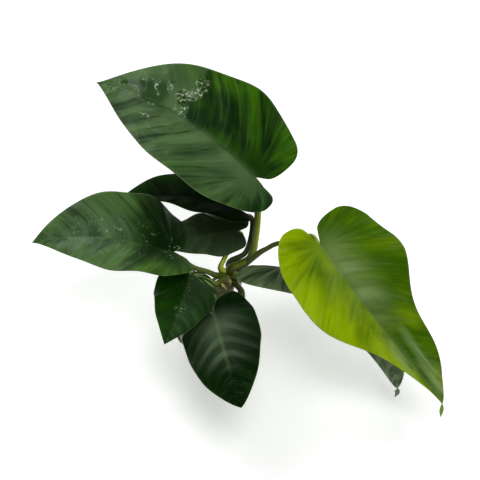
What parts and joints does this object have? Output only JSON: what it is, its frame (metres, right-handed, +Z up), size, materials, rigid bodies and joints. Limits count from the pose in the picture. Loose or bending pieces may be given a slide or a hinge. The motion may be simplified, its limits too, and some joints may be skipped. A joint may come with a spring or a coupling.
{
  "type": "anubias nana on stone",
  "caption": "Low rosette of glossy heart-shaped leaves on petioles that rise from a creeping rhizome, its roots gripping a small pale stone.",
  "frame": {"origin": "middle of the stone's flat base, on the surface that it stands on", "axes": "+Z up, +Y away from the side that is looked at, +X to its right"},
  "size_m": [0.1393, 0.1102, 0.079],
  "materials": {
    "stone": "pale grey, rough, with faint veins and pits",
    "rhizome": "olive brown, ringed by old leaf scars, satin",
    "leaf_top": "wet gloss over fine side veins",
    "leaf_left": "wet gloss over fine side veins",
    "leaf_back": "wet gloss over fine side veins",
    "leaf_middle": "wet gloss over fine side veins",
    "leaf_lower_left": "wet gloss over fine side veins",
    "leaf_front": "wet gloss over fine side veins",
    "leaf_right": "wet gloss over fine side veins",
    "leaf_under": "wet gloss over fine side veins",
    "petiole": "smooth satin, olive to yellow-green",
    "root": "fibrous tan, matt",
    "dry_scale": "dry papery tan"
  },
  "bodies": {
    "root": {"stone": "stone", "rhizome": "rhizome", "blade_top": "leaf_top", "petiole_top": "petiole", "blade_left": "leaf_left", "petiole_left": "petiole", "blade_back": "leaf_back", "petiole_back": "petiole", "blade_middle": "leaf_middle", "petiole_middle": "petiole", "blade_lower_left": "leaf_lower_left", "petiole_lower_left": "petiole", "blade_front": "leaf_front", "petiole_front": "petiole", "blade_right": "leaf_right", "petiole_right": "petiole", "blade_under": "leaf_under", "petiole_under": "petiole", "root_1": "root", "root_2": "root", "root_3": "root", "root_4": "root", "root_5": "root", "root_6": "root", "root_7": "root", "dry_scale_1": "dry_scale", "dry_scale_2": "dry_scale"}
  },
  "joints": []
}
